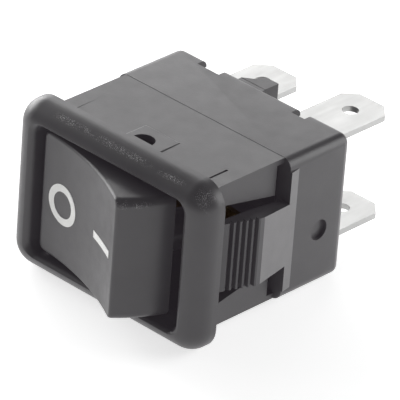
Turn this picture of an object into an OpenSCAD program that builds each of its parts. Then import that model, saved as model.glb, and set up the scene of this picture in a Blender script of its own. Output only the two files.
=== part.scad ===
// Snap-in panel rocker switch, double pole, single throw, with four blade terminals.
// +X runs along the bezel's long side, +Y goes into the panel and +Z is up, along the rocker's pivot.
// The origin is the centre of the bezel's back face, which seats on the panel.
// The rocker stands at OFF: its end at -X is pressed in.

/* [Bezel] */
// Length of the bezel
bezel_l = 21; // [20.6:0.1:22]
// Height of the bezel
bezel_h = 15; // [14.8:0.1:16]
// Thickness of the bezel in front of the panel
bezel_t = 2.5; // [2.2:0.1:2.8]
// Corner radius of the bezel's outline
bezel_corner = 2.2; // [2.1:0.1:2.6]
// Rounding of the bezel's outer front edge
bezel_round = 2; // [1:0.1:2]
// Length of the opening for the rocker
opening_l = 16.4; // [16.2:0.1:16.6]
// Height of the opening for the rocker
opening_h = 11.6; // [11.4:0.1:11.8]
// Rounding of the opening's front edge
opening_round = 0.6; // [0.3:0.1:0.7]

/* [Body] */
// Length of the body behind the panel
body_l = 19; // [18.8:0.1:19.1]
// Height of the body behind the panel
body_h = 12.8; // [12.7:0.05:12.85]
// Depth of the housing behind the panel
body_d = 15.3; // [15.2:0.1:16]
// Depth at which the body steps out to its full length
step_y = 8.7; // [8.6:0.1:9]
// How far the front section stands back at each end
end_step = 0.75; // [0.6:0.05:0.8]
// Width of the slots beside the latch tongues
slot_w = 1.35; // [1:0.05:1.5]

/* [Latches] */
// Width of a latch tongue
latch_w = 6.1; // [5.6:0.1:6.4]
// How far the latch crest stands out from the body
latch_rise = 0.8; // [0.6:0.05:0.9]
// Depth of the latch crest behind the panel seat
crest_y = 4.45; // [4.3:0.05:4.6]
// Number of locking teeth on a latch
teeth = 5; // [4:1:5]
// Spacing of the locking teeth
tooth_pitch = 0.5; // [0.45:0.05:0.5]

/* [Rocker] */
// Distance of the pivot behind the panel seat
pivot_y = 2; // [1.9:0.05:2.1]
// Height of the rocker
rocker_h = 10.8; // [10.6:0.1:11.2]
// Distance between the rocker's two ridges
ridge_l = 12.2; // [12:0.1:12.5]
// Distance of the ridges in front of the pivot
ridge_y = 5.87; // [5.8:0.01:6.2]
// Radius of the hollow face
face_r = 25; // [23:0.5:28]
// Angle between OFF and ON
throw = 35; // [30:1:35]
// Radius of the pivot pins
pin_r = 1.03; // [1.02:0.01:1.06]
// Radius of the pivot bores in the housing
bore_r = 1.1; // [1.1:0.01:1.12]

/* [Contacts] */
// Distance of each pole from the middle plane
pole_z = 2.3; // [2.2:0.05:2.4]
// Depth of the contact arms' pivot behind the panel seat
arm_y = 9.7; // [9.7:0.05:9.8]
// Angle between OFF and ON of a contact arm
arm_throw = 18; // [14:1:18]
// Slope of each wing of a contact arm
wing_slope = 15; // [14:0.5:16]
// Distance from the rocker's pivot to the centre of a plunger's nose
nose_reach = 6.2; // [6:0.05:6.2]

/* [Terminals] */
// Width of a blade
blade_w = 4.8; // [4.6:0.1:5]
// Thickness of the sheet
sheet = 0.5; // [0.4:0.05:0.55]
// Depth of the blade tips behind the panel seat
tip_y = 23.05; // [22.5:0.05:23.5]
// Distance of the blades' middles from the middle of the switch
blade_x = 4.8; // [4.7:0.05:4.9]
// Height of the common blades above the middle plane
common_z = 4.5; // [4.45:0.05:4.55]
// Height of the load blades above the middle plane
load_z = 3.1; // [3.05:0.05:3.15]
// Diameter of the hole in a blade
blade_hole = 1.4; // [1.2:0.1:1.6]

/* [Hidden] */
$fn = 48;

black = [0.20, 0.20, 0.21];
rocker_black = [0.25, 0.25, 0.26];
base_black = [0.17, 0.17, 0.18];
tin = [0.86, 0.86, 0.84];
silver = [0.92, 0.92, 0.93];
brass = [0.80, 0.66, 0.36];
steel = [0.62, 0.63, 0.65];
white = [0.96, 0.96, 0.95];

gap = 0.03;                       // clearance of fitted pieces
over = 1;                         // how far a cutter runs past the solid

// Front section, walls and pockets of the housing
front_l = body_l - 2 * end_step;
front_h = body_h - 0.1;
edge_r = 0.9;                     // roundings of the rear section: along the body, and round its rear
rear_round = 0.6;
opening_corner = 0.9;
wall_z = 5.75;                    // inner face of the thin side walls round the rocker
bearing_z = 5.2;                  // inner face of the bearing walls
bearing_l = 7;
bearing_y = 0.3;
bore_end = 5.95;
swing_y = 3.4;                    // depth of the pockets that the rocker's ends swing into
pocket_l = body_l - 2.2;          // pocket for the base
pocket_h = body_h - 1.4;
pocket_y = 9;
groove_w = 0.65;                  // relief groove in front of the step
groove_h = 11.8;
shoulder_rise = 0.08;             // flare of the step's edge beside the tongue
shoulder_h = 10.8;
window_y = 1.6;                   // opening in the wall over each pivot pin
window_r = 0.95;
recess_l = 14.6;                  // shallow ramp over the pivot
recess_d = 0.2;
recess_y = 3.9;
notch_x = [4.0, 5.75];
notch_d = 0.75;
pit = [12.35, -1.25];
pit_r = 0.9;
pit_d = 0.35;

// Latch tongue
crest_x = body_l / 2 + latch_rise;
crest_flat = 0.45;
ramp_y = 9.4;
tooth_flank = 0.36;
tooth_drop = 0.2;
tongue_in = front_l / 2;
tongue_end = 0.9;

// Rocker, in its own frame: origin on the pivot, standing half way between OFF and ON
end_x = 4.84;
end_y = -0.73;
end_r = norm([end_x + ridge_l / 2, end_y + ridge_y]);
skirt_y = -1.2;
cap_corner = 0.7;
face_edge = 0.4;
ridge_edge = 0.35;
rocker_wall = 1;
face_y = -ridge_y + face_r - sqrt(face_r * face_r - ridge_l * ridge_l / 4);
tab_z = [4.0, 5.05];
tab_l = 4.4;
pin_end = 5.88;
relief_l = 8.8;
relief_y = -2.9;
stem_r = 1.65;
stem_y = 4.4;
stem_bore = 1.1;
stem_floor = -0.5;
rib = 0.8;

// Legends
legend_t = 0.05;
off_x = -3.35;
off_size = [3.6, 3.6];
stroke = 0.64;
on_x = [1.57, 5];

// Plungers and springs, in the rocker's frame
plunger_r = 1.05;
plunger_y = 2.6;
plunger_bore = 0.72;
plunger_seat = 4.6;
nose_r = 0.9;
coil_r = 0.52;
wire_r = 0.12;
coils = 8;

// Contact arms, in their own frame: origin on the arm's pivot, wings level
arm_w = 2.4;
arm_t = 0.4;
bead_r = 0.45;
long_wing = 6.3;
short_wing = 4.6;
contact_s = 5.6;
contact_r = 1;
contact_h = 0.5;
dome_r = 3.6;
shank_r = 0.45;

// Fixed side
contact_x = -5.62;
contact_y = 9.66;
head_t = 0.4;
flange_x = [-7.2, -4.1];
flange_in = 1.0;
shelf_l = 2.2;
shelf_y = arm_y + 0.12;
shelf_in = 1.1;
bend_r = 0.3;
web_y = 10.8;
web_end = -1.1;
tip_l = 2.6;
tip_chamfer = 1.1;
hole_back = 2.6;

// Base
base_l = pocket_l - 0.1;
base_h = pocket_h - 0.1;
base_front = 9.1;
floor_y = 13;
base_rear = body_d - 0.2;
base_wall = 0.85;
partition = 0.9;
barrier_x = [-1.65, 0.05];
barrier_y = 16.9;
barrier_h = 12.7;
gusset_x = -2.6;
gusset_y = 16.05;
stop_x = [3.6, 4.6];

// A shape drawn in X and Z, extruded from y0 to y1
module along_y(y0, y1) {
    translate([0, y1, 0]) rotate([90, 0, 0]) linear_extrude(y1 - y0) children();
}

// A shape drawn in X and Y, extruded from z0 to z1
module along_z(z0, z1) {
    translate([0, 0, z0]) linear_extrude(z1 - z0) children();
}

// A shape drawn in Y and Z, extruded from x0 to x1
module along_x(x0, x1) {
    translate([x0, 0, 0]) rotate([90, 0, 90]) linear_extrude(x1 - x0) children();
}

// A box between two corners
module block(a, b) {
    translate(a) cube(b - a);
}

// The child and its mirror image across the plane X = 0, Y = 0 or Z = 0
module both(normal) {
    children();
    mirror(normal) children();
}

module rounded_rect(l, h, r) {
    square([l - 2 * r, h], center = true);
    square([l, h - 2 * r], center = true);
    for (x = [-1, 1], z = [-1, 1])
        translate([x * (l / 2 - r), z * (h / 2 - r)]) circle(r);
}

// A rounded frame's section swept round a rectangle: child 0 is drawn from the corner's axis outwards
module swept_plate(l, h, rc, t) {
    rotate([90, 0, 0]) {
        translate([rc - l / 2, rc - h / 2, 0]) cube([l - 2 * rc, h - 2 * rc, t]);
        for (side = [0:3]) {
            along = side % 2 == 0 ? h - 2 * rc : l - 2 * rc;
            reach = side % 2 == 0 ? l / 2 - rc : h / 2 - rc;
            rotate([0, 0, side * 90]) {
                translate([reach, along / 2, 0]) rotate([90, 0, 0]) linear_extrude(along) children();
                translate([reach, along / 2, 0]) rotate_extrude(angle = 90) children();
            }
        }
    }
}

// Section of a rim, drawn from the corner's axis outwards: square at its start, rounded at its end
module rim_section(reach, depth, r) {
    difference() {
        square([reach, depth]);
        translate([reach - r, depth - r]) difference() {
            square(r + over);
            circle(r);
        }
    }
}

// Section of the opening: straight, then flared by the rounding of its front edge
module opening_section() {
    difference() {
        square([opening_corner + opening_round, bezel_t + over]);
        translate([opening_corner, -over]) square([opening_round + over, bezel_t - opening_round + over]);
        translate([opening_corner + opening_round, bezel_t - opening_round]) circle(opening_round);
    }
}

// Outline of a latch tongue at +X: ramp, crest and a stair of teeth down to the panel
module latch_outline() {
    stair = [for (i = [0:teeth - 1]) for (d = [0, tooth_flank])
        [crest_x - i * tooth_drop - d, crest_y - i * tooth_pitch]];
    foot = [crest_x - teeth * tooth_drop, crest_y - teeth * tooth_pitch];
    polygon(concat(
        [[body_l / 2 - over, ramp_y], [body_l / 2, ramp_y], [crest_x, crest_y + crest_flat]],
        stair,
        [foot, [foot[0] - 0.35, tongue_end], [tongue_in - 0.3, tongue_end], [tongue_in, crest_y]]));
}

// The section behind the step, with its rear edges rounded
module rear_block() {
    depth = body_d - step_y;
    translate([0, step_y, 0]) mirror([0, 1, 0])
        swept_plate(body_l, body_h, edge_r, depth) rim_section(edge_r, depth, rear_round);
}

// The step's edge at +X, flared like the tongue's ramp
module shoulder() {
    end = body_l / 2;
    along_z(-shoulder_h / 2, shoulder_h / 2)
        polygon([[end - 0.5, step_y], [end + shoulder_rise, step_y], [end, ramp_y], [end - 0.5, ramp_y]]);
}

// Slots that free a tongue, and the relief groove that carries them up the step
module latch_slots() {
    reach = [tongue_in - 0.8, crest_x + over];
    both([0, 0, 1]) {
        block([reach[0], 0, latch_w / 2], [reach[1], step_y, latch_w / 2 + slot_w]);
        block([reach[0], step_y - groove_w, latch_w / 2], [reach[1], step_y, groove_h / 2]);
    }
}

module housing_inside() {
    swept_plate(opening_l, opening_h, opening_corner, bezel_t + over) opening_section();
    along_y(-0.5, bearing_y) square([opening_l, 2 * wall_z], center = true);
    both([1, 0, 0]) block([bearing_l / 2, 0, -wall_z], [opening_l / 2, swing_y, wall_z]);
    along_y(0, pocket_y + gap) square([opening_l, 2 * bearing_z], center = true);
    along_y(pocket_y, body_d + over) rounded_rect(pocket_l, pocket_h, 0.3);
}

// Pivot bore, blind in front and open through the wall behind its middle
module pivot_hole() {
    translate([0, pivot_y, bearing_z - over]) cylinder(r = bore_r, h = bore_end - bearing_z + over);
    intersection() {
        translate([0, window_y, bearing_z]) cylinder(r = window_r, h = body_h);
        block([-2 * window_r, window_y, 0], [2 * window_r, window_y + 2 * window_r, body_h]);
    }
}

module housing_outside() {
    recess = [[-over, body_h / 2 + over], [-over, front_h / 2 - recess_d], [0, front_h / 2 - recess_d],
        [recess_y, front_h / 2], [recess_y, body_h / 2 + over]];
    both([0, 0, 1]) {
        intersection() {
            along_x(-recess_l / 2, recess_l / 2) polygon(recess);
            block([-body_l, 0, 0], [body_l, recess_y, body_h]);
        }
        pivot_hole();
        both([1, 0, 0])
            block([notch_x[0], body_d - notch_d, pocket_h / 2 - over], [notch_x[1], body_d + over, body_h]);
    }
    both([1, 0, 0]) latch_slots();
    for (turn = [0, 180])
        rotate([0, turn, 0]) translate([body_l / 2 - pit_d, pit[0], pit[1]])
            rotate([0, 90, 0]) cylinder(r = pit_r, h = over);
}

module housing() {
    color(black) union() {
        difference() {
            union() {
                swept_plate(bezel_l, bezel_h, bezel_corner, bezel_t)
                    rim_section(bezel_corner, bezel_t, bezel_round);
                along_y(-0.1, step_y + 0.1) square([front_l, front_h], center = true);
                rear_block();
                both([1, 0, 0]) shoulder();
            }
            housing_inside();
            housing_outside();
            both([1, 0, 0]) block([tongue_in - 0.8, 0, -latch_w / 2], [crest_x, step_y, latch_w / 2]);
        }
        both([1, 0, 0]) along_z(-latch_w / 2, latch_w / 2) latch_outline();
    }
}

// Slot in the base for a blade or web
module sheet_slot(x0, x1, z, y0) {
    block([x0 - gap, y0, z - sheet / 2 - gap], [x1 + gap, barrier_y, z + sheet / 2 + gap]);
}

module base() {
    half = blade_w / 2;
    color(base_black) difference() {
        union() {
            difference() {
                along_y(base_front, base_rear) rounded_rect(base_l, base_h, 0.25);
                along_y(base_front - over, floor_y)
                    square([base_l - 2 * base_wall, base_h - 2 * base_wall], center = true);
            }
            block([base_wall - base_l / 2, arm_y + 0.2, -partition / 2],
                [base_l / 2 - base_wall, floor_y + 0.1, partition / 2]);
            both([0, 0, 1]) {
                block([flange_x[0], contact_y + head_t + sheet + gap, flange_in],
                    [flange_x[1], floor_y + 0.1, load_z - sheet / 2 - bend_r - gap]);
                block([-shelf_l / 2, web_y, shelf_in], [shelf_l / 2, floor_y + 0.1, common_z - sheet / 2 - gap]);
                block([stop_x[0], arm_y - 0.2, pole_z - arm_w / 2],
                    [stop_x[1], floor_y + 0.1, pole_z + arm_w / 2]);
            }
            block([barrier_x[0], base_rear - 0.1, -base_h / 2 + 0.3], [barrier_x[1], barrier_y, base_h / 2 - 0.3]);
            along_z(-barrier_h / 2, barrier_h / 2) polygon([
                [gusset_x, body_d + gap], [barrier_x[1], body_d + gap], [barrier_x[1], barrier_y],
                [barrier_x[0] + 0.3, barrier_y], [barrier_x[0], barrier_y - 0.6], [barrier_x[0], gusset_y]]);
        }
        both([0, 0, 1]) {
            sheet_slot(-blade_x - half, -blade_x + half, load_z, floor_y - over);
            sheet_slot(blade_x - half, blade_x + half, common_z, floor_y - over);
        }
    }
}

// Centre of the circle that meets two others at distances ra and rb, to the left of the line from a to b
function meeting(a, ra, b, rb) =
    let (d = norm(b - a), u = (b - a) / d, x = (d * d + ra * ra - rb * rb) / (2 * d))
    a + x * u + sqrt(ra * ra - x * x) * [-u[1], u[0]];

// A disc about the curved end's axis, with a rounded rim
module end_disc() {
    rotate_extrude($fn = 180) difference() {
        translate([0, -rocker_h / 2]) square([end_r, rocker_h]);
        both([0, 1]) translate([end_r - cap_corner, rocker_h / 2 - cap_corner]) difference() {
            square(cap_corner + over);
            circle(cap_corner);
        }
    }
}

// What hollows the face and rounds its long edges
module face_cutter() {
    translate([0, face_y - face_r, 0]) rotate_extrude($fn = 180) {
        translate([0, -rocker_h]) square([face_r, 2 * rocker_h]);
        both([0, 1]) difference() {
            translate([face_r - over, rocker_h / 2 - face_edge]) square([face_edge + over, face_edge + over]);
            translate([face_r + face_edge, rocker_h / 2 - face_edge]) circle(face_edge);
        }
    }
}

// What rounds the ridge at +x
module ridge_cutter() {
    end_c = [-end_x, end_y];
    face_c = [0, face_y - face_r];
    c = meeting(end_c, end_r - ridge_edge, face_c, face_r + ridge_edge);
    on_end = end_c + end_r * (c - end_c) / norm(c - end_c);
    on_hollow = face_c + face_r * (c - face_c) / norm(c - face_c);
    tip = [ridge_l / 2, -ridge_y];
    along_z(-rocker_h, rocker_h) difference() {
        polygon([c, on_end, c + 3 * (tip - c), on_hollow]);
        translate(c) circle(ridge_edge);
    }
}

// Space under the face, between the end walls
module cap_hollow() {
    r = end_r - rocker_wall;
    difference() {
        intersection() {
            translate([-end_x, end_y]) circle(r, $fn = 96);
            translate([end_x, end_y]) circle(r, $fn = 96);
            translate([-8, -7]) square([16, 7 + skirt_y + over]);
        }
        translate([0, face_y - face_r]) circle(face_r + rocker_wall, $fn = 180);
    }
}

module rocker_shape() {
    difference() {
        intersection() {
            translate([-end_x, end_y, 0]) end_disc();
            translate([end_x, end_y, 0]) end_disc();
            block([-end_r, -2 * ridge_y, -rocker_h], [end_r, skirt_y, rocker_h]);
        }
        face_cutter();
        both([1, 0, 0]) ridge_cutter();
        along_z(-tab_z[0] - 0.4, tab_z[0] + 0.4) cap_hollow();
        both([0, 0, 1]) block([-relief_l / 2, relief_y, tab_z[1]], [relief_l / 2, over, rocker_h]);
        both([0, 0, 1]) block([-relief_l / 2, skirt_y - over, tab_z[0] + 0.3], [-tab_l / 2, over, rocker_h]);
        both([0, 0, 1]) block([tab_l / 2, skirt_y - over, tab_z[0] + 0.3], [relief_l / 2, over, rocker_h]);
    }
    // side tabs, and the pivot pins on them
    both([0, 0, 1]) {
        along_z(tab_z[0], tab_z[1]) {
            translate([-tab_l / 2, relief_y - 1.2]) square([tab_l, 1.2 - relief_y]);
            circle(tab_l / 2);
        }
        translate([0, 0, tab_z[1] - 0.2]) cylinder(r = pin_r, h = pin_end - tab_z[1] + 0.2);
    }
    // stems that hold the springs, and the ribs between them
    difference() {
        union() {
            both([0, 0, 1]) translate([0, 0, pole_z]) rotate([90, 0, 0])
                translate([0, 0, -stem_y]) cylinder(r = stem_r, h = stem_y + 4.9);
            along_x(-rib / 2, rib / 2) translate([-4.9, -tab_z[0] - 0.2])
                square([4.9, 2 * tab_z[0] + 0.4]);
            along_z(-rib / 2, rib / 2) intersection() {
                translate([-6.6, -5.2]) square([13.2, 2.8]);
                translate([-end_x, end_y]) circle(end_r - rocker_wall / 2);
                translate([end_x, end_y]) circle(end_r - rocker_wall / 2);
            }
        }
        both([0, 0, 1]) translate([0, 0, pole_z]) rotate([90, 0, 0])
            translate([0, 0, -stem_y - over]) cylinder(r = stem_bore, h = stem_y - stem_floor + over);
        translate([0, face_y - face_r, -rocker_h]) cylinder(r = face_r + 0.4, h = 2 * rocker_h, $fn = 180);
    }
}

// Puts what is drawn in the rocker's frame at OFF
module at_off() {
    translate([0, pivot_y, 0]) rotate([0, 0, -throw / 2]) children();
}

module rocker() {
    color(rocker_black) at_off() rocker_shape();
}

// A thin layer on the hollow face, cut out by the outline of the children
module on_face() {
    intersection() {
        along_y(-ridge_y - over, face_y + over) children();
        difference() {
            translate([0, face_y - face_r, -rocker_h / 2]) cylinder(r = face_r, h = rocker_h, $fn = 180);
            translate([0, face_y - face_r, -rocker_h]) cylinder(r = face_r - legend_t, h = 2 * rocker_h, $fn = 180);
        }
    }
}

module off_legend() {
    color(white) at_off() on_face() translate([off_x, 0]) difference() {
        scale([off_size[0] / off_size[1], 1]) circle(off_size[1] / 2);
        scale([(off_size[0] - 2 * stroke) / (off_size[1] - 2 * stroke), 1]) circle(off_size[1] / 2 - stroke);
    }
}

module on_legend() {
    color(white) at_off() on_face() translate([on_x[0], -stroke / 2]) square([on_x[1] - on_x[0], stroke]);
}

module plunger() {
    color(brass) at_off() translate([0, 0, pole_z]) rotate([-90, 0, 0]) difference() {
        union() {
            translate([0, 0, plunger_y]) cylinder(r = plunger_r, h = nose_reach - nose_r / 2 - plunger_y);
            translate([0, 0, plunger_seat]) cylinder(r = nose_r, h = nose_reach - plunger_seat);
            translate([0, 0, nose_reach]) sphere(nose_r);
        }
        translate([0, 0, plunger_y - over]) cylinder(r = plunger_bore, h = plunger_seat - plunger_y + over);
    }
}

// Coil spring along +Z from z = 0 to z = length
module coil_spring(length) {
    sides = 6;
    steps = 12;
    rings = coils * steps;
    rise = length - 2 * wire_r;
    function ring(i) = [for (k = [0:sides - 1])
        let (a = 360 * i / steps, b = 360 * k / sides, r = coil_r + wire_r * cos(b))
        [r * cos(a), r * sin(a), wire_r + rise * i / rings + wire_r * sin(b)]];
    points = [for (i = [0:rings]) each ring(i)];
    tube = [for (i = [0:rings - 1], k = [0:sides - 1])
        let (n = (k + 1) % sides, a = i * sides)
        [a + k, a + sides + k, a + sides + n, a + n]];
    first = [for (k = [0:sides - 1]) k];
    last = [for (k = [sides - 1:-1:0]) rings * sides + k];
    polyhedron(points, concat([first], tube, [last]));
}

module spring() {
    color(steel) at_off() translate([0, stem_floor + gap, pole_z]) rotate([-90, 0, 0])
        coil_spring(plunger_seat - stem_floor - 2 * gap);
}

// Puts what is drawn in an arm's frame at OFF
module arm_at_off() {
    translate([0, arm_y, pole_z]) rotate([0, 0, arm_throw / 2]) children();
}

// Outline of an arm: a sheet bent to a shallow V
module arm_outline() {
    along = [cos(wing_slope), -sin(wing_slope)];
    across = [sin(wing_slope), cos(wing_slope)] * arm_t;
    right = short_wing * along;
    left = long_wing * along;
    polygon([[0, 0], right, right - across, [0, -arm_t / cos(wing_slope)],
        [across[0] - left[0], left[1] - across[1]], [-left[0], left[1]]]);
}

// The bent sheet and the bead that rocks in the common terminal's groove
module arm_shape() {
    difference() {
        union() {
            along_z(-arm_w / 2, arm_w / 2) arm_outline();
            translate([0, 0, -arm_w / 2]) cylinder(r = bead_r, h = arm_w);
        }
        at_contact() translate([0, 0, -over]) cylinder(r = shank_r + gap, h = 2 * over);
    }
}

// Puts what is drawn along +Z at the contact's place, with +Z pointing away from the arm's underside
module at_contact() {
    rotate([0, 0, wing_slope]) translate([-contact_s, 0, 0]) rotate([-90, 0, 0]) children();
}

module contact_arm() {
    color(brass) arm_at_off() arm_shape();
}

module moving_contact() {
    color(silver) arm_at_off() at_contact() {
        intersection() {
            cylinder(r = contact_r, h = contact_h);
            translate([0, 0, contact_h - dome_r]) sphere(dome_r, $fn = 96);
        }
        translate([0, 0, -arm_t - 0.15]) cylinder(r = shank_r, h = arm_t + 0.2);
    }
}

module blade_hole_cut(x, z) {
    translate([x, tip_y - hole_back, z - over]) cylinder(d = blade_hole, h = 2 * over);
}

// Outline of a blade from its root to its chamfered tip
module blade_outline(x, y0) {
    half = blade_w / 2;
    polygon([[x - half, y0], [x - half, tip_y - tip_chamfer], [x - tip_l / 2, tip_y],
        [x + tip_l / 2, tip_y], [x + half, tip_y - tip_chamfer], [x + half, y0]]);
}

// Section of a sheet that stands at height z and bends inwards to a flange at depth y0
module bent_section(z, inner, y0, y1) {
    outer_r = bend_r + sheet;
    face = z + sheet / 2;
    centre = [y0 + outer_r, face - outer_r];
    translate([y0, inner]) square([sheet, centre[1] - inner]);
    translate([centre[0], z - sheet / 2]) square([y1 - centre[0], sheet]);
    intersection() {
        translate(centre) difference() {
            circle(outer_r);
            circle(bend_r);
        }
        translate([y0, centre[1]]) square(outer_r);
    }
}

module load_terminal() {
    color(tin) difference() {
        union() {
            along_z(load_z - sheet / 2, load_z + sheet / 2) blade_outline(-blade_x, floor_y - 0.6);
            along_x(flange_x[0], flange_x[1])
                bent_section(load_z, flange_in, contact_y + head_t, floor_y);
        }
        blade_hole_cut(-blade_x, load_z);
        translate([contact_x, floor_y, pole_z - 0.05]) rotate([90, 0, 0]) cylinder(r = shank_r + gap, h = floor_y);
    }
}

module common_terminal() {
    color(tin) difference() {
        union() {
            along_z(common_z - sheet / 2, common_z + sheet / 2) {
                blade_outline(blade_x, web_y);
                translate([web_end, web_y]) square([blade_x - web_end, 2]);
            }
            along_x(-shelf_l / 2, shelf_l / 2) bent_section(common_z, shelf_in, shelf_y, web_y + 0.5);
            translate([0, arm_y, shelf_in]) cylinder(r = bead_r + sheet, h = 2 * (pole_z - shelf_in));
        }
        block([-shelf_l, arm_y - over, 0], [shelf_l, shelf_y, common_z - bend_r - sheet / 2]);
        translate([0, arm_y, 0]) cylinder(r = bead_r + gap, h = common_z - sheet);
        blade_hole_cut(blade_x, common_z);
    }
}

module fixed_contact() {
    color(silver) translate([contact_x, contact_y, pole_z - 0.05]) rotate([-90, 0, 0]) {
        cylinder(r = contact_r + 0.1, h = head_t);
        cylinder(r = shank_r, h = head_t + sheet);
    }
}

module lower() {
    mirror([0, 0, 1]) children();
}

housing();
base();
rocker();
off_legend();
on_legend();
plunger();  // plunger_upper
lower() plunger();  // plunger_lower
spring();  // spring_upper
lower() spring();  // spring_lower
contact_arm();  // contact_arm_upper
lower() contact_arm();  // contact_arm_lower
moving_contact();  // moving_contact_upper
lower() moving_contact();  // moving_contact_lower
common_terminal();  // common_terminal_upper
lower() common_terminal();  // common_terminal_lower
load_terminal();  // load_terminal_upper
lower() load_terminal();  // load_terminal_lower
fixed_contact();  // fixed_contact_upper
lower() fixed_contact();  // fixed_contact_lower
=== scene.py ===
"""Looks of the snap-in panel rocker switch: meshes, materials, floor, light and camera."""
from math import asin, atan2, cos, hypot, pi, radians, sin, sqrt

import bmesh
import bpy
from mathutils import Matrix, Vector


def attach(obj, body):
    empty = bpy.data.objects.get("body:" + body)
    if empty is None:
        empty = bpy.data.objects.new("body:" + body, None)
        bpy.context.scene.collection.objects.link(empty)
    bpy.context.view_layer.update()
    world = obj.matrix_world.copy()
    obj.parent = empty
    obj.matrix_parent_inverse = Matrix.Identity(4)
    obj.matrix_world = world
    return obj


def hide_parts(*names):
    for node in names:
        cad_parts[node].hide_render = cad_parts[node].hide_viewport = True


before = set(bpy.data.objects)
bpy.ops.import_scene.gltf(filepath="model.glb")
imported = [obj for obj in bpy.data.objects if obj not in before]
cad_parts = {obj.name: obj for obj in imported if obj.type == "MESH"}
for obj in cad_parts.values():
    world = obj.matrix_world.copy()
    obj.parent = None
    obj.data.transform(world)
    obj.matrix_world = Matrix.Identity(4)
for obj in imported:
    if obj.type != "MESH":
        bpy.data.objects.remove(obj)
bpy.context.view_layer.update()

MM = 0.001

# ---------------------------------------------------------------- sizes, in millimetres

# The step, groove, recess, notches, windows, teeth and slots differ a little from part.scad, and
# the pad, the slit and the web are only here: they were read from the photo.

BEZEL_L, BEZEL_H, BEZEL_T = 21.0, 15.0, 2.5
BEZEL_CORNER, BEZEL_ROUND = 2.2, 2.0
OPENING_L, OPENING_H = 16.4, 11.6
OPENING_CORNER, OPENING_ROUND = 0.9, 0.6

BODY_L, BODY_H, BODY_D = 19.0, 12.8, 15.3
STEP_Y = 8.4
FRONT_L, FRONT_H = 17.5, 12.76
EDGE_R, REAR_ROUND = 0.9, 0.65
# The photo reads as a flare of 0.08, as in part.scad; 0.17 is only there to keep its edge sharp,
# over HOUSING_SHARP_ANGLE.
SHOULDER_RISE, SHOULDER_H = 0.17, 10.8
WALL_Z, BEARING_Z, BEARING_L, BEARING_Y = 5.75, 5.2, 7.0, 0.3
SWING_Y = 3.4
POCKET_L, POCKET_H, POCKET_Y = 16.8, 11.4, 9.0
GROOVE_W, GROOVE_H = 0.8, 11.8
RECESS_L, RECESS_D, RECESS_Y = 14.6, 0.05, 3.9
SLIT_X, SLIT_Y, SLIT_D = (7.15, 7.36), (1.5, 3.5), 0.35
PAD_X, PAD_Y, PAD_RISE, PAD_SLOPE = (-1.75, 1.9), 3.6, 0.03, 0.4
NOTCHES, NOTCH_D = ((-6.4, -4.0), (4.0, 5.45)), 1.14
WEB_X, WEB_TOP, WEB_END = (-2.6, 0.05), 6.33, 15.38
PIT_Y, PIT_Z, PIT_R, PIT_D = 12.35, -1.25, 0.9, 0.35
BORE_R, BORE_END = 1.1, 5.95
WINDOW, WINDOW_R = (-0.2, 1.68), 1.0

LATCH_W, SLOT_TOP, SLOT_DROP = 6.1, 4.8, 1.7
TONGUE_DROP = 0.6
CREST_X, CREST_Y, CREST_FLAT, RAMP_Y = 10.3, 4.45, 0.45, 9.4
TEETH, TOOTH_PITCH, TOOTH_LAND, TOOTH_FLANK, TOOTH_DROP = 5, 0.5, 0.15, 0.42, 0.2
TONGUE_IN, TONGUE_END = 8.75, 0.9

PIVOT_Y = 2.0
THROW = radians(35)
ROCKER_H = 10.8
RIDGE_L, RIDGE_Y = 12.2, 5.87
FACE_R = 25.0
END_X, END_Y = 4.84, -0.73
END_R = hypot(END_X + RIDGE_L / 2, END_Y + RIDGE_Y)
SKIRT_Y = -1.2
CAP_CORNER, FACE_EDGE, RIDGE_EDGE = 0.7, 0.25, 0.35
ROCKER_WALL = 1.0
FACE_Y = -RIDGE_Y + FACE_R - sqrt(FACE_R ** 2 - RIDGE_L ** 2 / 4)
TAB_Z, TAB_L = (4.0, 5.05), 4.4
# The pins end at 5.88 in part.scad; the photo shows none in the windows, so they are shorter here.
PIN_R, PIN_END = 1.03, 5.4
RELIEF_L, RELIEF_Y = 8.8, -2.9
STEM_R, STEM_Y, STEM_BORE, STEM_FLOOR = 1.65, 4.4, 1.1, -0.5
POLE_Z = 2.3
RIB = 0.8

LEGEND_T = 0.03
OFF_X, OFF_SIZE, STROKE = -3.35, (3.6, 3.5), 0.62
LEGEND_Z = -0.14
ON_X = (1.57, 5.0)

OVER = 1.0            # how far a cutting tool reaches past what it cuts
SINK = 0.1            # how far solids that are joined reach into one another
ROOT = 0.2            # the same for pins, webs and ribs
CLEAR = 0.01
OPENING_LAP, POCKET_LAP, POCKET_CORNER = 0.5, 0.05, 0.3
SHOULDER_IN, TONGUE_ROOT, FOOT_BACK, TIP_IN = 0.5, 0.8, 0.35, 0.3
HOLLOW_IN, HOLLOW_X, HOLLOW_Y = 0.4, 8, -7
RELIEF_IN, TAB_ROOT = 0.3, 1.2
INNER_TOP, INNER_FACE = -4.9, 0.4
LONG_RIB_X, LONG_RIB_Y = 6.2, (-5.2, -2.4)

WELD = 2e-7           # metres
FLAT_ANGLE = radians(0.5)
SHARP_ANGLE, HOUSING_SHARP_ANGLE = radians(32), radians(8.6)
END_SEGMENTS, FACE_SEGMENTS, LEGEND_SEGMENTS = 240, 400, 96

# ---------------------------------------------------------------- mesh helpers


def new_piece(name, points, faces):
    """A closed mesh in millimetres, with its normals outwards."""
    mesh = bpy.data.meshes.new(name)
    mesh.from_pydata([tuple(p) for p in points], [], faces)
    bm = bmesh.new()
    bm.from_mesh(mesh)
    bmesh.ops.recalc_face_normals(bm, faces=bm.faces)
    bm.to_mesh(mesh)
    bm.free()
    piece = bpy.data.objects.new(name, mesh)
    bpy.context.scene.collection.objects.link(piece)
    return piece


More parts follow.
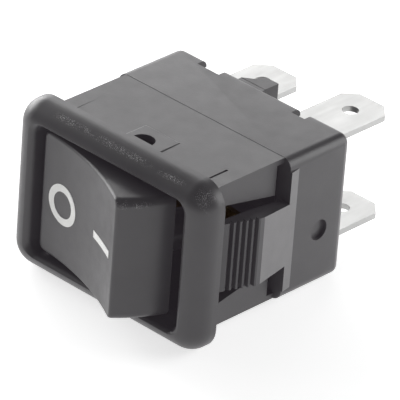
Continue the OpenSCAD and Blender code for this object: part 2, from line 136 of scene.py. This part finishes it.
def loft(name, rings):
    """A solid through closed rings that all have the same number of points."""
    n = len(rings[0])
    points = [p for ring in rings for p in ring]
    faces = [tuple(range(n)), tuple(range(len(points) - n, len(points)))]
    for k in range(len(rings) - 1):
        for i in range(n):
            j = (i + 1) % n
            faces.append((k * n + i, k * n + j, k * n + n + j, k * n + n + i))
    return new_piece(name, points, faces)


def along_x(outline, x0, x1):
    return loft("tool", [[(x, y, z) for y, z in outline] for x in (x0, x1)])


def along_y(outline, y0, y1):
    return loft("tool", [[(x, y, z) for x, z in outline] for y in (y0, y1)])


def along_z(outline, z0, z1):
    return loft("tool", [[(x, y, z) for x, y in outline] for z in (z0, z1)])


def block(a, b):
    return along_z([(a[0], a[1]), (b[0], a[1]), (b[0], b[1]), (a[0], b[1])], a[2], b[2])


def arc(centre, r, start, stop, n):
    """n + 1 points on an arc, by angles in radians."""
    return [(centre[0] + r * cos(start + (stop - start) * i / n),
             centre[1] + r * sin(start + (stop - start) * i / n)) for i in range(n + 1)]


def circle(centre, r, n=48):
    return arc(centre, r, 0, 2 * pi, n)[:-1]


def rounded_rect(length, height, r, n=10):
    """Outline of a rectangle with round corners."""
    points = []
    for k, (sx, sz) in enumerate(((1, 1), (-1, 1), (-1, -1), (1, -1))):
        centre = (sx * (length / 2 - r), sz * (height / 2 - r))
        points += arc(centre, r, k * pi / 2, (k + 1) * pi / 2, n)
    return points


def combine(base, tools, operation="DIFFERENCE"):
    """Cuts the tools out of base, or joins or intersects them with it, and deletes them."""
    for tool in tools:
        step = base.modifiers.new("step", "BOOLEAN")
        step.operation = operation
        step.object = tool
        step.solver = "MANIFOLD"
    result = bpy.data.meshes.new_from_object(base.evaluated_get(bpy.context.evaluated_depsgraph_get()))
    base.modifiers.clear()
    old = base.data
    base.data = result
    bpy.data.meshes.remove(old)
    for tool in tools:
        bpy.data.meshes.remove(tool.data)
    return base


def mirrored(piece, axis):
    """A copy of a piece, mirrored across the plane through the origin that stands on that axis."""
    copy = piece.copy()
    copy.data = piece.data.copy()
    bpy.context.scene.collection.objects.link(copy)
    scale = [1, 1, 1]
    scale[axis] = -1
    copy.data.transform(Matrix.Diagonal((*scale, 1)))
    copy.data.flip_normals()
    return copy


def both(pieces, axis):
    """The pieces and their mirror images."""
    return list(pieces) + [mirrored(p, axis) for p in pieces]


def finish_piece(piece, name, body, material, placed=Matrix(), sharp=SHARP_ANGLE):
    """Turns a millimetre mesh into a named piece of the model."""
    piece.name = name
    mesh = piece.data
    mesh.name = name
    mesh.transform(Matrix.Scale(MM, 4) @ placed)
    bm = bmesh.new()
    bm.from_mesh(mesh)
    bmesh.ops.remove_doubles(bm, verts=bm.verts, dist=WELD)
    bmesh.ops.dissolve_limit(bm, angle_limit=FLAT_ANGLE, verts=bm.verts, edges=bm.edges)
    bm.to_mesh(mesh)
    bm.free()
    mesh.shade_smooth()
    mesh.set_sharp_from_angle(angle=sharp)
    mesh.materials.clear()
    mesh.materials.append(material)
    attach(piece, body)
    return piece


# ---------------------------------------------------------------- materials

PAINTED_GLOW = (0.0125, 0.0105, 0.0128, 1)       # painted glow: a faint emission on all plastic that lifts its shade, standing for the photo's raised black level
PAINTED_LIGHT_GREY = (0.15, 0.148, 0.151, 1)    # painted light: a paler grey on the latch ramps and the step's flare, which turn a little to the rear
SCUFF_GREY = (0.7, 0.7, 0.7, 1)
SCUFF_ROUGHNESS = 0.7

# Noise scales, in features to the metre
CLOUD, HAZE, GRAIN, SWELL, PATCHES, SPECKS = 260, 900, 9000, 420, 900, 16000
DRAWN_LINES, STAIN, FIBRES = 2600, 500, 1200

# Part of a scuff line's width that is fully worn, and how far its ends reach past it and fade, in mm
LINE_CORE, LINE_PAST, LINE_FADE = 0.35, 0.3, 0.5

# Range of the normal's Y, and of its X, over which a face counts as turned to the rear
BACK_TURN, SIDE_TURN = (0.02, 0.06), (0.9, 0.95)

# Share by which a colour varies, and amount by which a roughness does
PLASTIC_TINT, METAL_TINT, PLASTIC_GLOSS, METAL_GLOSS = 0.07, 0.06, 0.05, 0.07


def node(tree, kind, inputs, **settings):
    """A shader node: inputs by name or number are values, or sockets to link from."""
    made = tree.nodes.new("ShaderNode" + kind)
    for key, value in settings.items():
        setattr(made, key, value)
    for key, value in inputs.items():
        if isinstance(value, bpy.types.NodeSocket):
            tree.links.new(value, made.inputs[key])
        else:
            made.inputs[key].default_value = value
    return made


def noise(tree, place, scale, detail=2.0, rough=0.5):
    """Noise with this many features to the metre."""
    return node(tree, "TexNoise", {"Vector": place, "Scale": scale, "Detail": detail,
                                   "Roughness": rough}).outputs["Fac"]


def remap(tree, value, low, high, to_low=0.0, to_high=1.0):
    """The range low..high, clamped, to another range."""
    return node(tree, "MapRange", {"Value": value, "From Min": low, "From Max": high,
                                   "To Min": to_low, "To Max": to_high}).outputs["Result"]


def product(tree, a, b):
    return node(tree, "Math", {0: a, 1: b}, operation="MULTIPLY").outputs[0]


def larger(tree, a, b):
    return node(tree, "Math", {0: a, 1: b}, operation="MAXIMUM").outputs[0]


def blend_colours(tree, fac, a, b):
    return node(tree, "Mix", {"Factor": fac, 6: a, 7: b}, data_type="RGBA").outputs[2]


def start_material(name):
    material = bpy.data.materials.new(name)
    material.use_nodes = True
    tree = material.node_tree
    place = node(tree, "TexCoord", {}).outputs["Object"]
    return material, tree, tree.nodes["Principled BSDF"], place


def near_line(tree, place, start, direction, reach, width):
    """1 on the line from start (mm) along direction for reach, falling to 0 at width from it."""
    way = Vector(direction).normalized()
    offset = node(tree, "VectorMath", {0: place, 1: Vector(start) * MM}, operation="SUBTRACT").outputs[0]
    along = node(tree, "VectorMath", {0: offset, 1: way}, operation="DOT_PRODUCT").outputs["Value"]
    foot = node(tree, "VectorMath", {0: way, "Scale": along}, operation="SCALE").outputs[0]
    aside = node(tree, "VectorMath", {0: offset, 1: foot}, operation="DISTANCE").outputs["Value"]
    across = remap(tree, aside, width * MM, width * LINE_CORE * MM)
    begin = remap(tree, along, -LINE_PAST * MM, LINE_FADE * MM)
    end = remap(tree, along, (reach + LINE_PAST) * MM, (reach - LINE_FADE) * MM)
    return product(tree, across, product(tree, begin, end))


def facing_back(tree):
    """1 where the surface turns a little to the rear, as the latch ramps do."""
    turned = node(tree, "TexCoord", {}).outputs["Normal"]
    along = node(tree, "SeparateXYZ", {0: turned}).outputs
    sideways = node(tree, "Math", {0: along["X"]}, operation="ABSOLUTE").outputs[0]
    return product(tree, remap(tree, along["Y"], *BACK_TURN), remap(tree, sideways, *SIDE_TURN))


def plastic(name, colour, roughness, scuffs=()):
    """Moulded plastic: fine spark texture, cloudy gloss, a faint painted glow that lifts its shade, and pale
    scuffs near the given lines; with scuffs, faces turned to the rear get a paler painted light.
    """
    material, tree, shader, place = start_material(name)
    cloud = noise(tree, place, CLOUD, 3, 0.6)
    paint = blend_colours(tree, remap(tree, cloud, 0.3, 0.7), (*[c * (1 - PLASTIC_TINT) for c in colour], 1),
                          (*[c * (1 + PLASTIC_TINT) for c in colour], 1))
    haze = noise(tree, place, HAZE, 4, 0.65)
    gloss = remap(tree, haze, 0.3, 0.7, roughness - PLASTIC_GLOSS, roughness + PLASTIC_GLOSS)
    grain = noise(tree, place, GRAIN, 2, 0.5)
    swell = noise(tree, place, SWELL, 2, 0.4)
    height = node(tree, "Math", {0: grain, 1: swell}, operation="ADD").outputs[0]
    if scuffs:
        zone = near_line(tree, place, *scuffs[0])
        for line in scuffs[1:]:
            zone = larger(tree, zone, near_line(tree, place, *line))
        patches = remap(tree, noise(tree, place, PATCHES, 3, 0.6), 0.4, 0.6)
        specks = remap(tree, noise(tree, place, SPECKS, 1, 0.5), 0.56, 0.7)
        worn = product(tree, zone, product(tree, patches, specks))
        # painted light: faces turned a little to the rear, such as the latch ramps and the step's flare, are
        # painted a paler grey, as if lit more
        painted_light = product(tree, facing_back(tree), remap(tree, cloud, 0.2, 0.7, 0.8, 1.0))
        paint = blend_colours(tree, painted_light, paint, PAINTED_LIGHT_GREY)
        paint = blend_colours(tree, worn, paint, SCUFF_GREY)
        gloss = node(tree, "Mix", {"Factor": worn, 2: gloss, 3: SCUFF_ROUGHNESS}).outputs[0]
    bump = node(tree, "Bump", {"Height": height, "Strength": 0.35, "Distance": 0.012 * MM})
    # painted glow: a faint emission lifts the shade of the plastic everywhere
    shader.inputs["Emission Color"].default_value = PAINTED_GLOW
    shader.inputs["Emission Strength"].default_value = 1
    tree.links.new(paint, shader.inputs["Base Color"])
    tree.links.new(gloss, shader.inputs["Roughness"])
    tree.links.new(bump.outputs["Normal"], shader.inputs["Normal"])
    return material


def metal(name, colour, roughness, drawn=(1, 1, 1)):
    """Bare metal with fine lines across the axes where drawn is large."""
    material, tree, shader, place = start_material(name)
    stretched = node(tree, "VectorMath", {0: place, 1: drawn}, operation="MULTIPLY").outputs[0]
    lines = noise(tree, stretched, DRAWN_LINES, 3, 0.6)
    stain = noise(tree, place, STAIN, 3, 0.6)
    tint = blend_colours(tree, remap(tree, stain, 0.3, 0.7), (*[c * (1 - METAL_TINT) for c in colour], 1),
                         (*colour, 1))
    gloss = remap(tree, lines, 0.25, 0.75, roughness - METAL_GLOSS, roughness + METAL_GLOSS)
    bump = node(tree, "Bump", {"Height": lines, "Strength": 0.25, "Distance": 0.006 * MM})
    shader.inputs["Metallic"].default_value = 1
    tree.links.new(tint, shader.inputs["Base Color"])
    tree.links.new(gloss, shader.inputs["Roughness"])
    tree.links.new(bump.outputs["Normal"], shader.inputs["Normal"])
    return material


# Scuff lines: start and direction, then reach and width, in mm
BEZEL_SCUFFS = [((-6.5, -1.66, 7.12), (1, 0, 0), 14.0, 0.38),
                ((9.0, -1.5, 6.9), (1, 0.5, -1), 1.6, 0.9)]
RIDGE_SCUFFS = [((4.1, -5.43, 5.1), (0.68, 0.74, 0), 3.0, 0.5)]

HOUSING_PLASTIC = plastic("housing_plastic", (0.05, 0.049, 0.051), 0.36, BEZEL_SCUFFS)
ROCKER_PLASTIC = plastic("rocker_plastic", (0.05, 0.049, 0.051), 0.34, RIDGE_SCUFFS)
BASE_PLASTIC = plastic("base_plastic", (0.045, 0.044, 0.046), 0.38)
LEGEND_WHITE = plastic("legend_white", (0.88, 0.88, 0.86), 0.5)
TINNED_BRASS = metal("tinned_brass", (0.5, 0.5, 0.495), 0.42, (1, 0.12, 1))
CONTACT_BRASS = metal("contact_brass", (0.50, 0.40, 0.26), 0.42, (0.15, 1, 1))
CONTACT_SILVER = metal("contact_silver", (0.9, 0.9, 0.9), 0.2)
SPRING_STEEL = metal("spring_steel", (0.6, 0.6, 0.62), 0.25)

# ---------------------------------------------------------------- housing


def quarter(r, n=14):
    """(inset, depth) pairs round a quarter circle that starts flush with a side wall."""
    return [(r * (1 - cos(a)), r * sin(a)) for a in (pi / 2 * i / n for i in range(n + 1))]


def ring(length, height, r, y, n=12):
    return [(x, y, z) for x, z in rounded_rect(length, height, r, n)]


def bezel_solid():
    rings = [ring(BEZEL_L, BEZEL_H, BEZEL_CORNER, 0)]
    for inset, depth in quarter(BEZEL_ROUND):
        rings.append(ring(BEZEL_L - 2 * inset, BEZEL_H - 2 * inset, BEZEL_CORNER - inset,
                          BEZEL_ROUND - BEZEL_T - depth))
    return loft("bezel", rings)


def opening_tool():
    rings = [ring(OPENING_L, OPENING_H, OPENING_CORNER, BEARING_Y)]
    for inset, depth in quarter(OPENING_ROUND):
        rings.append(ring(OPENING_L + 2 * inset, OPENING_H + 2 * inset, OPENING_CORNER + inset,
                          OPENING_ROUND - BEZEL_T - depth))
    flared = OPENING_CORNER + OPENING_ROUND
    rings.append(ring(OPENING_L + 2 * OPENING_ROUND, OPENING_H + 2 * OPENING_ROUND, flared, -BEZEL_T - OVER))
    return loft("tool", rings)


def rear_block():
    rings = [ring(BODY_L, BODY_H, EDGE_R, STEP_Y)]
    for inset, depth in quarter(REAR_ROUND):
        rings.append(ring(BODY_L - 2 * inset, BODY_H - 2 * inset, EDGE_R - inset,
                          BODY_D - REAR_ROUND + depth))
    return loft("rear", rings)


def shoulder():
    """The step's edge at +X, flared like the tongue's ramp."""
    end, top = BODY_L / 2, SHOULDER_H / 2
    return along_z([(end - SHOULDER_IN, STEP_Y), (end + SHOULDER_RISE, STEP_Y), (end, RAMP_Y),
                    (end - SHOULDER_IN, RAMP_Y)], -top, top)


def latch():
    """The tongue at +X, from its ramp over the crest and down its teeth."""
    outline = [(BODY_L / 2 - TONGUE_ROOT, RAMP_Y), (BODY_L / 2, RAMP_Y), (CREST_X, CREST_Y + CREST_FLAT)]
    for i in range(TEETH):
        y = CREST_Y - i * TOOTH_PITCH
        x = CREST_X - i * TOOTH_DROP
        outline += [(x, y), (x - TOOTH_DROP * TOOTH_LAND / TOOTH_PITCH, y - TOOTH_LAND),
                    (x - TOOTH_FLANK, y - TOOTH_LAND)]
    foot = (CREST_X - TEETH * TOOTH_DROP, CREST_Y - TEETH * TOOTH_PITCH)
    outline += [foot, (foot[0] - FOOT_BACK, TONGUE_END), (TONGUE_IN - TIP_IN, TONGUE_END),
                (TONGUE_IN, CREST_Y)]
    tongue = along_z(outline, -LATCH_W / 2, LATCH_W / 2)
    top = LATCH_W / 2
    slope = [(CREST_Y, top), (RAMP_Y, top - TONGUE_DROP), (RAMP_Y + OVER, top), (CREST_Y, top + OVER)]
    return combine(tongue, [along_x(slope, TONGUE_IN - OVER, CREST_X + OVER)])


def recess_tools():
    """The shallow sloping recesses behind the bezel, on the top and the bottom."""
    front = FRONT_H / 2
    outline = [(0, BODY_H), (0, front - RECESS_D), (RECESS_Y, front), (RECESS_Y, BODY_H)]
    return both([along_x(outline, -RECESS_L / 2, RECESS_L / 2)], 2)


def housing_tools():
    """Everything that is cut out of the housing."""
    tools = [opening_tool()]
    tools.append(block((-OPENING_L / 2, -OPENING_LAP, -WALL_Z), (OPENING_L / 2, BEARING_Y, WALL_Z)))
    tools += both([block((BEARING_L / 2, 0, -WALL_Z), (OPENING_L / 2, SWING_Y, WALL_Z))], 0)
    tools.append(block((-OPENING_L / 2, 0, -BEARING_Z), (OPENING_L / 2, POCKET_Y + POCKET_LAP, BEARING_Z)))
    tools.append(along_y(rounded_rect(POCKET_L, POCKET_H, POCKET_CORNER, 4), POCKET_Y, BODY_D + OVER))
    upper = [along_z(circle((0, PIVOT_Y), BORE_R), BEARING_Z - OVER, BORE_END)]
    upper.append(along_z(arc(WINDOW, WINDOW_R, 0, pi, 24), BEARING_Z, BODY_H))
    upper += [block((x0, BODY_D - NOTCH_D, POCKET_H / 2 - OVER), (x1, BODY_D + OVER, BODY_H))
              for x0, x1 in NOTCHES]
    upper.append(block((SLIT_X[0], SLIT_Y[0], FRONT_H / 2 - SLIT_D), (SLIT_X[1], SLIT_Y[1], BODY_H)))
    tools += both(upper, 2)
    near, far = TONGUE_IN - TONGUE_ROOT, CREST_X + OVER
    slot = [(0, LATCH_W / 2), (STEP_Y, LATCH_W / 2 - TONGUE_DROP),
            (STEP_Y, SLOT_TOP - SLOT_DROP), (0, SLOT_TOP)]
    slots = [along_x(slot, near, far),
             block((near, STEP_Y - GROOVE_W, LATCH_W / 2), (far, STEP_Y, GROOVE_H / 2))]
    slots = both(slots, 2) + [block((near, 0, -LATCH_W / 2 - CLEAR), (far, STEP_Y, LATCH_W / 2 + CLEAR))]
    tools += both(slots, 0)
    pit = along_x(circle((PIT_Y, PIT_Z), PIT_R), BODY_L / 2 - PIT_D, BODY_L)
    pit_behind = along_x(circle((PIT_Y, -PIT_Z), PIT_R), -BODY_L, PIT_D - BODY_L / 2)
    return tools + [pit, pit_behind]


def pad():
    """The low pad round the pivot window, with sloping sides."""
    (x0, x1), foot = PAD_X, PAD_SLOPE
    low, high = FRONT_H / 2 - RECESS_D - SINK, FRONT_H / 2 + PAD_RISE
    return loft("pad", [[(x0 - out, -SINK, z), (x1 + out, -SINK, z), (x1 + out, PAD_Y + out, z),
                         (x0 - out, PAD_Y + out, z)] for out, z in ((foot, low), (0, high))])


def web():
    """The web that closes the gap at the gusset, at the top."""
    return block((WEB_X[0], BODY_D - REAR_ROUND, POCKET_H / 2 - ROOT), (WEB_X[1], WEB_END, WEB_TOP))


def housing():
    solid = bezel_solid()
    front = block((-FRONT_L / 2, -SINK, -FRONT_H / 2), (FRONT_L / 2, STEP_Y + SINK, FRONT_H / 2))
    combine(solid, [front, rear_block()] + both([shoulder()], 0), "UNION")
    combine(solid, recess_tools())
    combine(solid, both([pad()], 2), "UNION")
    combine(solid, housing_tools())
    combine(solid, both([latch()], 0), "UNION")
    combine(solid, both([web()], 2), "UNION")
    piece = finish_piece(solid, "moulded_housing", "switch_body", HOUSING_PLASTIC,
                         sharp=HOUSING_SHARP_ANGLE)
    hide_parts("housing")


# ---------------------------------------------------------------- rocker


def meeting(a, ra, b, rb):
    """The point at distance ra from a and rb from b, to the left of the line from a to b."""
    d = hypot(b[0] - a[0], b[1] - a[1])
    ux, uy = (b[0] - a[0]) / d, (b[1] - a[1]) / d
    x = (d * d + ra * ra - rb * rb) / (2 * d)
    y = sqrt(ra * ra - x * x)
    return a[0] + x * ux - y * uy, a[1] + x * uy + y * ux


def cap_profile(end_inset, face_inset):
    """Outline of the rocker's cap: curved end, ridge, hollow face, ridge and curved end."""
    end_c, end_r = (-END_X, END_Y), END_R - end_inset
    face_c, face_r = (0, FACE_Y - FACE_R), FACE_R + face_inset
    c = meeting(end_c, end_r - RIDGE_EDGE, face_c, face_r + RIDGE_EDGE)
    end_angle = atan2(c[1] - end_c[1], c[0] - end_c[0])
    face_angle = atan2(c[1] - face_c[1], c[0] - face_c[0])
    skirt_angle = asin((SKIRT_Y - end_c[1]) / end_r)
    right = arc(end_c, end_r, skirt_angle, end_angle, 16)
    right += arc(c, RIDGE_EDGE, end_angle, face_angle - pi, 8)[1:]
    right += arc(face_c, face_r, face_angle, pi / 2, 24)[1:]
    left = [(-x, y) for x, y in reversed(right[:-1])]
    return right + left


def rounding(z, r):
    """How far a rounded edge of radius r stands back at height z."""
    past = abs(z) - (ROCKER_H / 2 - r)
    return r - sqrt(max(r * r - past * past, 0)) if past > 0 else 0


def cap_solid():
    half = ROCKER_H / 2
    upper = [half - CAP_CORNER * (1 - sin(pi / 2 * i / 14)) for i in range(15)]
    heights = [-z for z in reversed(upper)] + upper
    return loft("cap", [[(x, y, z) for x, y in cap_profile(rounding(z, CAP_CORNER), rounding(z, FACE_EDGE))]
                        for z in heights])


def hollow_tool():
    """The space under the face, inside both curved ends."""
    r = END_R - ROCKER_WALL
    reach = TAB_Z[0] + HOLLOW_IN
    solid = along_z(circle((-END_X, END_Y), r, END_SEGMENTS), -reach, reach)
    combine(solid, [along_z(circle((END_X, END_Y), r, END_SEGMENTS), -OVER - reach, reach + OVER),
                    block((-HOLLOW_X, HOLLOW_Y, -OVER - reach), (HOLLOW_X, SKIRT_Y + OVER, reach + OVER))],
            "INTERSECT")
    face = along_z(circle((0, FACE_Y - FACE_R), FACE_R + ROCKER_WALL, FACE_SEGMENTS),
                   -OVER - reach, reach + OVER)
    return combine(solid, [face])


def rocker_solid():
    """The cap with its tabs, pins, ribs and the two stems that hold the springs."""
    solid = cap_solid()
    half_tab, half_relief = TAB_L / 2, RELIEF_L / 2
    cuts = [block((-half_relief, RELIEF_Y, TAB_Z[1]), (half_relief, OVER, ROCKER_H)),
            block((-half_relief, SKIRT_Y - OVER, TAB_Z[0] + RELIEF_IN), (-half_tab, OVER, ROCKER_H)),
            block((half_tab, SKIRT_Y - OVER, TAB_Z[0] + RELIEF_IN), (half_relief, OVER, ROCKER_H))]
    combine(solid, [hollow_tool()] + both(cuts, 2))
    tab = [(-half_tab, RELIEF_Y - TAB_ROOT), (half_tab, RELIEF_Y - TAB_ROOT)]
    tab += arc((0, 0), half_tab, 0, pi, 24)
    added = [along_z(tab, *TAB_Z), along_z(circle((0, 0), PIN_R), TAB_Z[1] - ROOT, PIN_END)]
    combine(solid, both(added, 2), "UNION")
    stems = both([along_y(circle((0, POLE_Z), STEM_R), INNER_TOP, STEM_Y)], 2)
    ribs = [block((-RIB / 2, INNER_TOP, -TAB_Z[0] - ROOT), (RIB / 2, 0, TAB_Z[0] + ROOT)),
            block((-LONG_RIB_X, LONG_RIB_Y[0], -RIB / 2), (LONG_RIB_X, LONG_RIB_Y[1], RIB / 2))]
    inner = stems[0]
    combine(inner, stems[1:] + ribs, "UNION")
    bores = both([along_y(circle((0, POLE_Z), STEM_BORE), STEM_FLOOR, STEM_Y + OVER)], 2)
    face = along_z(circle((0, FACE_Y - FACE_R), FACE_R + INNER_FACE, FACE_SEGMENTS), -ROCKER_H, ROCKER_H)
    combine(inner, bores + [face])
    return combine(solid, [inner], "UNION")


AT_OFF = Matrix.Translation((0, PIVOT_Y, 0)) @ Matrix.Rotation(-THROW / 2, 4, "Z")


def on_face(x, z, raised):
    """A point over the hollow face, in the rocker's own frame."""
    r = FACE_R - raised
    return x, FACE_Y - FACE_R + sqrt(r * r - x * x), z


def off_legend():
    """The printed O: an oval ring that follows the hollow face."""
    n = LEGEND_SEGMENTS
    edges = []
    for length, height in (OFF_SIZE, (OFF_SIZE[0] - 2 * STROKE, OFF_SIZE[1] - 2 * STROKE)):
        edges.append([(OFF_X + length / 2 * cos(2 * pi * i / n), LEGEND_Z + height / 2 * sin(2 * pi * i / n))
                      for i in range(n)])
    section = ((edges[0], LEGEND_T), (edges[1], LEGEND_T), (edges[1], -LEGEND_T), (edges[0], -LEGEND_T))
    rings = [[on_face(x, z, raised) for x, z in edge] for edge, raised in section]
    points = [p for r in rings for p in r]
    faces = []
    for k in range(4):
        for i in range(n):
            j = (i + 1) % n
            m = (k + 1) % 4
            faces.append((k * n + i, k * n + j, m * n + j, m * n + i))
    piece = finish_piece(new_piece("o", points, faces), "off_mark", "rocker",
                         LEGEND_WHITE, AT_OFF)
    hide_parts("off_legend")


def on_legend():
    """The printed I: a bar across the hollow face."""
    n = 12
    half = STROKE / 2
    section = ((-half, LEGEND_T), (half, LEGEND_T), (half, -LEGEND_T), (-half, -LEGEND_T))
    rings = []
    for i in range(n + 1):
        x = ON_X[0] + (ON_X[1] - ON_X[0]) * i / n
        rings.append([on_face(x, z + LEGEND_Z / 2, raised) for z, raised in section])
    piece = finish_piece(loft("i", rings), "on_mark", "rocker", LEGEND_WHITE, AT_OFF)
    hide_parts("on_legend")


def rocker():
    piece = finish_piece(rocker_solid(), "rocker_cap", "rocker", ROCKER_PLASTIC, AT_OFF)
    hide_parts("rocker")


housing()
rocker()
off_legend()
on_legend()

# ---------------------------------------------------------------- nodes that keep their CAD meshes

FINISHES = {"base": BASE_PLASTIC, "terminal": TINNED_BRASS, "moving_contact": CONTACT_SILVER,
            "fixed_contact": CONTACT_SILVER, "contact_arm": CONTACT_BRASS, "plunger": CONTACT_BRASS,
            "spring": SPRING_STEEL}

for name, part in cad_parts.items():
    for word, material in FINISHES.items():
        if word in name:
            part.data.materials.clear()
            part.data.materials.append(material)

# ---------------------------------------------------------------- floor, light and camera

# Rise over run, in mm, from under the bezel to the lower end of the barrier rib: it rests on both
FLOOR_SLOPE = 1.15 / 16.9
FLOOR_Z, FLOOR_GAP = -BEZEL_H / 2, 0.01
FLOOR_REACH = 3.0                # metres to each side
FLOOR_GLOW = 0.66

# Name, azimuth and elevation in degrees, edge in metres, power in watts
LIGHTS = (("left", -100, 8, 0.6, 6.4), ("left_wide", -92, 12, 1.1, 3),
          ("rear_left", 218, 22, 0.4, 1.15), ("rear_right", 142, 20, 0.5, 3))
LIGHT_DISTANCE, LIGHT_AIM = 0.7, Vector((0, 0.006, 0))
WORLD_LIGHT = 0.15

# The camera that was solved on the photo: angles in degrees, lens and film in mm, the rest in metres
CAMERA_AZIMUTH, CAMERA_ELEVATION, CAMERA_ROLL = 42.01, 29.6, 4.37
CAMERA_AIM, CAMERA_DISTANCE = Vector((0.00365, 0.00458, 0.00169)), 0.4
CAMERA_LENS, CAMERA_FILM, CAMERA_CLIP = 458.3, 36, (0.01, 10)


def paper():
    """Matt white paper, evenly lit from below so that it stays white in the shade."""
    material, tree, shader, place = start_material("floor_paper")
    shader.inputs["Roughness"].default_value = 0.8
    shader.inputs["Base Color"].default_value = (0.9, 0.9, 0.9, 1)
    shader.inputs["Emission Color"].default_value = (1, 1, 1, 1)
    shader.inputs["Emission Strength"].default_value = FLOOR_GLOW
    fibres = noise(tree, place, FIBRES, 2)
    bump = node(tree, "Bump", {"Height": fibres, "Strength": 0.1, "Distance": 0.01 * MM})
    tree.links.new(bump.outputs["Normal"], shader.inputs["Normal"])
    return material


def floor():
    mesh = bpy.data.meshes.new("floor")
    size = FLOOR_REACH
    mesh.from_pydata([(x * size, y * size, (FLOOR_Z - FLOOR_GAP) * MM + FLOOR_SLOPE * y * size)
                      for x, y in ((-1, -1), (1, -1), (1, 1), (-1, 1))], [], [(0, 1, 2, 3)])
    obj = bpy.data.objects.new("floor", mesh)
    bpy.context.scene.collection.objects.link(obj)
    mesh.materials.append(paper())


def softbox(name, azimuth, elevation, size, power):
    """A square area light that faces the switch; azimuth 0 is in front of the bezel."""
    a, e = radians(azimuth), radians(elevation)
    back = Vector((sin(a) * cos(e), -cos(a) * cos(e), sin(e)))
    light = bpy.data.lights.new(name, "AREA")
    light.size = size
    light.energy = power
    lamp = bpy.data.objects.new(name, light)
    lamp.location = LIGHT_AIM + back * LIGHT_DISTANCE
    lamp.rotation_euler = back.to_track_quat("Z", "Y").to_euler()
    bpy.context.scene.collection.objects.link(lamp)


def camera():
    azimuth, elevation, roll = radians(CAMERA_AZIMUTH), radians(CAMERA_ELEVATION), radians(CAMERA_ROLL)
    back = Vector((sin(azimuth) * cos(elevation), -cos(azimuth) * cos(elevation), sin(elevation)))
    level = Vector((cos(azimuth), sin(azimuth), 0))
    upright = back.cross(level)
    right = level * cos(roll) + upright * sin(roll)
    up = upright * cos(roll) - level * sin(roll)
    data = bpy.data.cameras.new("camera")
    data.lens = CAMERA_LENS
    data.sensor_width = CAMERA_FILM
    data.clip_start, data.clip_end = CAMERA_CLIP
    cam = bpy.data.objects.new("camera", data)
    cam.matrix_world = Matrix((right, up, back)).transposed().to_4x4()
    cam.matrix_world.translation = CAMERA_AIM + back * CAMERA_DISTANCE
    bpy.context.scene.collection.objects.link(cam)
    bpy.context.scene.camera = cam


floor()
for light in LIGHTS:
    softbox(*light)
camera()

world = bpy.data.worlds.new("studio")
world.use_nodes = True
world.node_tree.nodes["Background"].inputs["Color"].default_value = (1, 1, 1, 1)
world.node_tree.nodes["Background"].inputs["Strength"].default_value = WORLD_LIGHT
bpy.context.scene.world = world
bpy.context.scene.view_settings.view_transform = "Standard"
